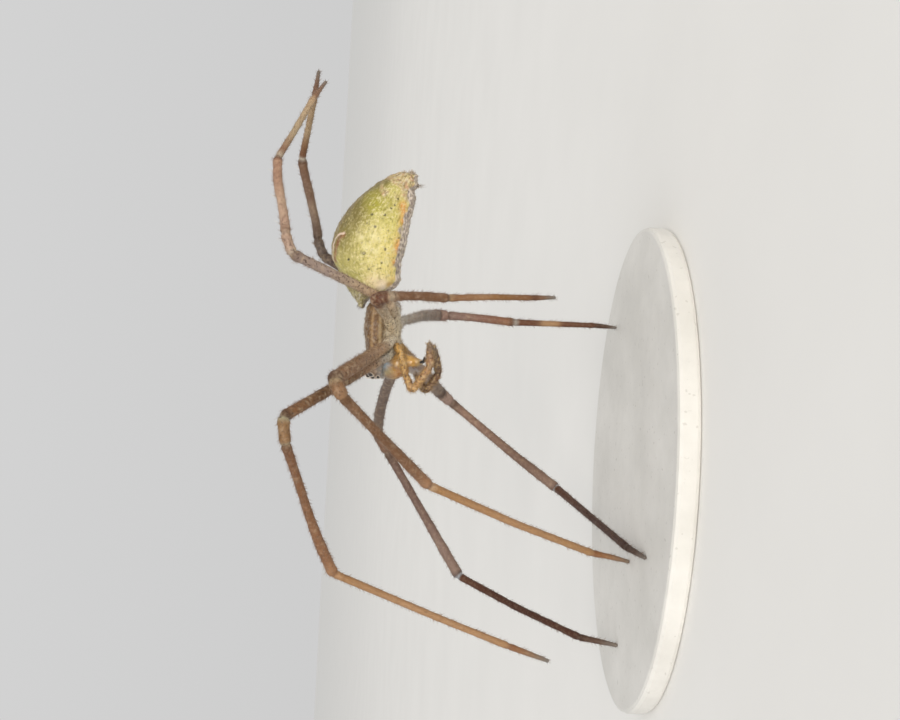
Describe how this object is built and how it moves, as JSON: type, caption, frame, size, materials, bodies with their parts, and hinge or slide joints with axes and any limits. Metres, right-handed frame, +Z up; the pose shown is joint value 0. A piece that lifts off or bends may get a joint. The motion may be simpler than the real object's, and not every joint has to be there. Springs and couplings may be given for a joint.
{
  "type": "net-casting spider",
  "caption": "Still, life-size net-casting spider, adult female with a humped yellow-green abdomen, in its hunting pose on a plain oval base.",
  "frame": {"origin": "on the floor, under the middle of the whole model's box", "axes": "+Z up, +X the way the spider's head points, +Y to the spider's left"},
  "size_m": [0.0426, 0.0264, 0.0272],
  "materials": {
    "abdomen": "waxy cuticle, yellow-green with pale veins, brown along the back and flecks of orange below",
    "carapace": "matt cuticle, tan and olive with dark lengthwise stripes",
    "sternum": "matt cuticle, cream with grey and brown mottling",
    "waist": "matt cuticle, tan",
    "femur": "matt cuticle, pinkish brown with fine dark speckles",
    "tibia": "matt cuticle, warm brown with fine speckles, pale at the joints",
    "metatarsus": "satin cuticle, light orange brown",
    "tarsus": "satin cuticle, orange brown with a grey tip",
    "jaw": "satin cuticle, yellow-orange, darker at the end",
    "fang": "hard black-brown cuticle, polished",
    "palp": "matt cuticle, yellow-tan with brown speckles",
    "spinneret": "matt cuticle, cream brown",
    "eye": "black glossy lens",
    "base": "plain pale satin resin"
  },
  "bodies": {
    "root": {"carapace": "carapace", "sternum": "sternum", "abdomen": "abdomen", "pedicel": "waist", "eye_posterior_median_left": "eye", "eye_posterior_median_right": "eye", "eye_anterior_median_left": "eye", "eye_anterior_median_right": "eye", "eye_anterior_lateral_left": "eye", "eye_anterior_lateral_right": "eye", "eye_posterior_lateral_left": "eye", "eye_posterior_lateral_right": "eye", "chelicera_left": "jaw", "fang_left": "fang", "chelicera_right": "jaw", "fang_right": "fang", "palp_left_femur": "palp", "palp_left_tibia": "palp", "palp_left_tarsus": "palp", "palp_right_femur": "palp", "palp_right_tibia": "palp", "palp_right_tarsus": "palp", "spinneret_front_left": "spinneret", "spinneret_front_right": "spinneret", "spinneret_rear_left": "spinneret", "spinneret_rear_right": "spinneret", "leg1_left_femur": "femur", "leg1_left_tibia": "tibia", "leg1_left_metatarsus": "metatarsus", "leg1_left_tarsus": "tarsus", "leg2_left_femur": "femur", "leg2_left_tibia": "tibia", "leg2_left_metatarsus": "metatarsus", "leg2_left_tarsus": "tarsus", "leg3_left_femur": "femur", "leg3_left_tibia": "tibia", "leg3_left_metatarsus": "metatarsus", "leg3_left_tarsus": "tarsus", "leg4_left_femur": "femur", "leg4_left_tibia": "tibia", "leg4_left_metatarsus": "metatarsus", "leg4_left_tarsus": "tarsus", "leg1_right_femur": "femur", "leg1_right_tibia": "tibia", "leg1_right_metatarsus": "metatarsus", "leg1_right_tarsus": "tarsus", "leg2_right_femur": "femur", "leg2_right_tibia": "tibia", "leg2_right_metatarsus": "metatarsus", "leg2_right_tarsus": "tarsus", "leg3_right_femur": "femur", "leg3_right_tibia": "tibia", "leg3_right_metatarsus": "metatarsus", "leg3_right_tarsus": "tarsus", "leg4_right_femur": "femur", "leg4_right_tibia": "tibia", "leg4_right_metatarsus": "metatarsus", "leg4_right_tarsus": "tarsus", "stand_base": "base"}
  },
  "joints": []
}
